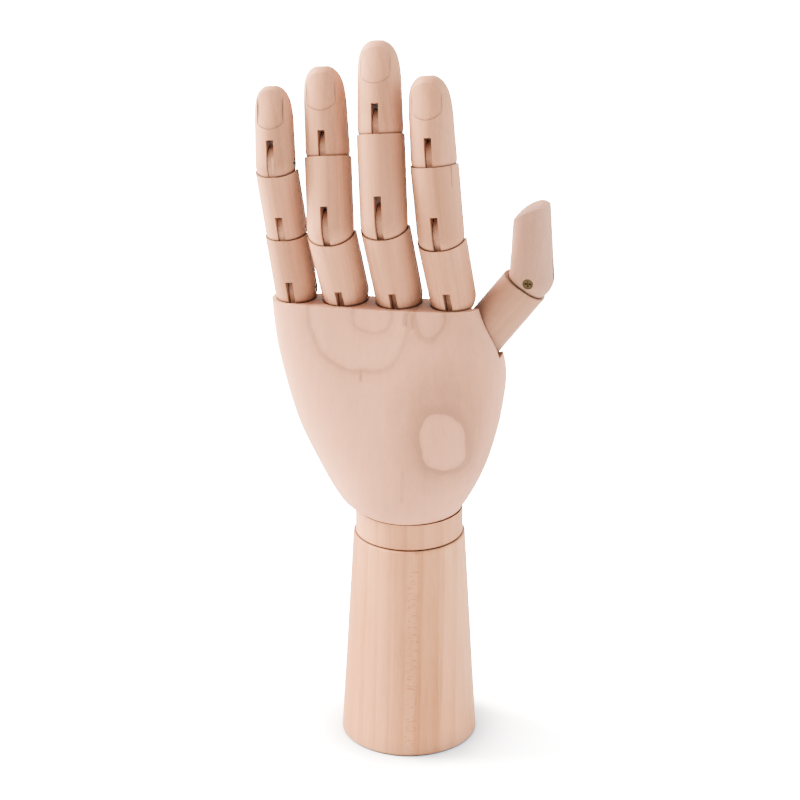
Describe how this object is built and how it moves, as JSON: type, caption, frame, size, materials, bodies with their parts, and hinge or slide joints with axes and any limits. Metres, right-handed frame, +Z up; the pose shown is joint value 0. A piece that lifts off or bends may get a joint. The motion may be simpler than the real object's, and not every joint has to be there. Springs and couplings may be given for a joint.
{
  "type": "jointed artist hand mannequin",
  "caption": "Jointed wooden left hand on a tapered forearm stand: a carved palm on a tilting ball wrist, with fingers and thumb of turned bones pinned on tongues by brass screws.",
  "frame": {"origin": "centre of the round underside of the forearm stand", "axes": "+Z up through the wrist to the fingertips; back of the hand faces -Y, palm faces +Y, thumb on the +X side"},
  "size_m": [0.1187, 0.0558, 0.2929],
  "materials": {
    "wood_forearm": "sanded, unvarnished",
    "wood_palm": "sanded, unvarnished",
    "wood_collar": "sanded, unvarnished",
    "wood_bones": "sanded, unvarnished",
    "wood_tongues": "sanded, unvarnished",
    "brass_screws": "plated, slightly dull",
    "steel_hardware": "zinc plated",
    "spring_steel": "drawn wire"
  },
  "bodies": {
    "forearm": {"forearm_base": "wood_forearm"},
    "collar": {"wrist_collar": "wood_collar", "wrist_rod": "steel_hardware", "wrist_spring": "spring_steel", "wrist_washer": "steel_hardware", "wrist_nut": "steel_hardware"},
    "cross_pin": {"wrist_pin": "steel_hardware"},
    "hand": {"palm": "wood_palm", "index_knuckle_tongue": "wood_tongues", "middle_knuckle_tongue": "wood_tongues", "ring_knuckle_tongue": "wood_tongues", "little_knuckle_tongue": "wood_tongues", "thumb_base_tongue": "wood_tongues"},
    "index_first_bone": {"index_proximal": "wood_bones", "index_knuckle_screw": "brass_screws", "index_middle_tongue": "wood_tongues"},
    "index_second_bone": {"index_middle": "wood_bones", "index_middle_screw": "brass_screws", "index_distal_tongue": "wood_tongues"},
    "index_tip_bone": {"index_distal": "wood_bones", "index_distal_screw": "brass_screws"},
    "middle_first_bone": {"middle_proximal": "wood_bones", "middle_knuckle_screw": "brass_screws", "middle_middle_tongue": "wood_tongues"},
    "middle_second_bone": {"middle_middle": "wood_bones", "middle_middle_screw": "brass_screws", "middle_distal_tongue": "wood_tongues"},
    "middle_tip_bone": {"middle_distal": "wood_bones", "middle_distal_screw": "brass_screws"},
    "ring_first_bone": {"ring_proximal": "wood_bones", "ring_knuckle_screw": "brass_screws", "ring_middle_tongue": "wood_tongues"},
    "ring_second_bone": {"ring_middle": "wood_bones", "ring_middle_screw": "brass_screws", "ring_distal_tongue": "wood_tongues"},
    "ring_tip_bone": {"ring_distal": "wood_bones", "ring_distal_screw": "brass_screws"},
    "little_first_bone": {"little_proximal": "wood_bones", "little_knuckle_screw": "brass_screws", "little_middle_tongue": "wood_tongues"},
    "little_second_bone": {"little_middle": "wood_bones", "little_middle_screw": "brass_screws", "little_distal_tongue": "wood_tongues"},
    "little_tip_bone": {"little_distal": "wood_bones", "little_distal_screw": "brass_screws"},
    "thumb_first_bone": {"thumb_proximal": "wood_bones", "thumb_base_screw": "brass_screws", "thumb_distal_tongue": "wood_tongues"},
    "thumb_tip_bone": {"thumb_distal": "wood_bones", "thumb_distal_screw": "brass_screws"}
  },
  "joints": [
    {"name": "wrist_turn", "type": "hinge", "parent": "forearm", "child": "collar", "pos_m": [0, 0, 0.0904], "axis": [0, 0, 1], "continuous": true},
    {"name": "wrist_side_tilt", "type": "hinge", "parent": "collar", "child": "cross_pin", "pos_m": [0, 0, 0.1356], "axis": [0, 1, 0], "range_deg": [-10, 10]},
    {"name": "wrist_bend", "type": "hinge", "parent": "cross_pin", "child": "hand", "pos_m": [0, 0, 0.1356], "axis": [1, 0, 0], "range_deg": [-15, 15]},
    {"name": "index_knuckle", "type": "hinge", "parent": "hand", "child": "index_first_bone", "pos_m": [0.0174, 0, 0.1939], "axis": [-0.9917, 0, -0.1288], "range_deg": [-9, 78]},
    {"name": "index_middle_joint", "type": "hinge", "parent": "index_first_bone", "child": "index_second_bone", "pos_m": [0.01385, -0.00637, 0.22124], "axis": [-0.9917, 0, -0.1288], "range_deg": [-32, 49]},
    {"name": "index_tip_joint", "type": "hinge", "parent": "index_second_bone", "child": "index_tip_bone", "pos_m": [0.01004, -0.0022, 0.25061], "axis": [-0.9917, 0, -0.1288], "range_deg": [-18, 61]},
    {"name": "middle_knuckle", "type": "hinge", "parent": "hand", "child": "middle_first_bone", "pos_m": [-0.0044, 0, 0.1929], "axis": [-0.9938, 0, -0.1115], "range_deg": [-6, 81]},
    {"name": "middle_middle_joint", "type": "hinge", "parent": "middle_first_bone", "child": "middle_second_bone", "pos_m": [-0.00806, -0.00943, 0.22557], "axis": [-0.9938, 0, -0.1115], "range_deg": [-44, 37]},
    {"name": "middle_tip_joint", "type": "hinge", "parent": "middle_second_bone", "child": "middle_tip_bone", "pos_m": [-0.01196, 0.00125, 0.26026], "axis": [-0.9938, 0, -0.1115], "range_deg": [-15, 64]},
    {"name": "ring_knuckle", "type": "hinge", "parent": "hand", "child": "ring_first_bone", "pos_m": [-0.0262, 0, 0.1923], "axis": [-0.9936, 0, -0.1132], "range_deg": [-4, 83]},
    {"name": "ring_middle_joint", "type": "hinge", "parent": "ring_first_bone", "child": "ring_second_bone", "pos_m": [-0.02954, -0.00958, 0.22159], "axis": [-0.9936, 0, -0.1132], "range_deg": [-47, 34]},
    {"name": "ring_tip_joint", "type": "hinge", "parent": "ring_second_bone", "child": "ring_tip_bone", "pos_m": [-0.03279, -0.00025, 0.25013], "axis": [-0.9936, 0, -0.1132], "range_deg": [-8, 71]},
    {"name": "little_knuckle", "type": "hinge", "parent": "hand", "child": "little_first_bone", "pos_m": [-0.0464, 0, 0.1917], "axis": [-0.994, 0, -0.1097], "range_deg": [-16, 71]},
    {"name": "little_middle_joint", "type": "hinge", "parent": "little_first_bone", "child": "little_second_bone", "pos_m": [-0.04929, -0.00277, 0.2179], "axis": [-0.994, 0, -0.1097], "range_deg": [-10, 71]},
    {"name": "little_tip_joint", "type": "hinge", "parent": "little_second_bone", "child": "little_tip_bone", "pos_m": [-0.05228, -0.00611, 0.24493], "axis": [-0.994, 0, -0.1097], "range_deg": [-36, 43]},
    {"name": "thumb_swing", "type": "hinge", "parent": "hand", "child": "thumb_first_bone", "pos_m": [0.0276, 0.006, 0.1749], "axis": [0, 1, 0], "range_deg": [-7, 10]},
    {"name": "thumb_tip_joint", "type": "hinge", "parent": "thumb_first_bone", "child": "thumb_tip_bone", "pos_m": [0.04788, 0.006, 0.20181], "axis": [0, -1, 0], "range_deg": [-48.3, 13.7]}
  ]
}
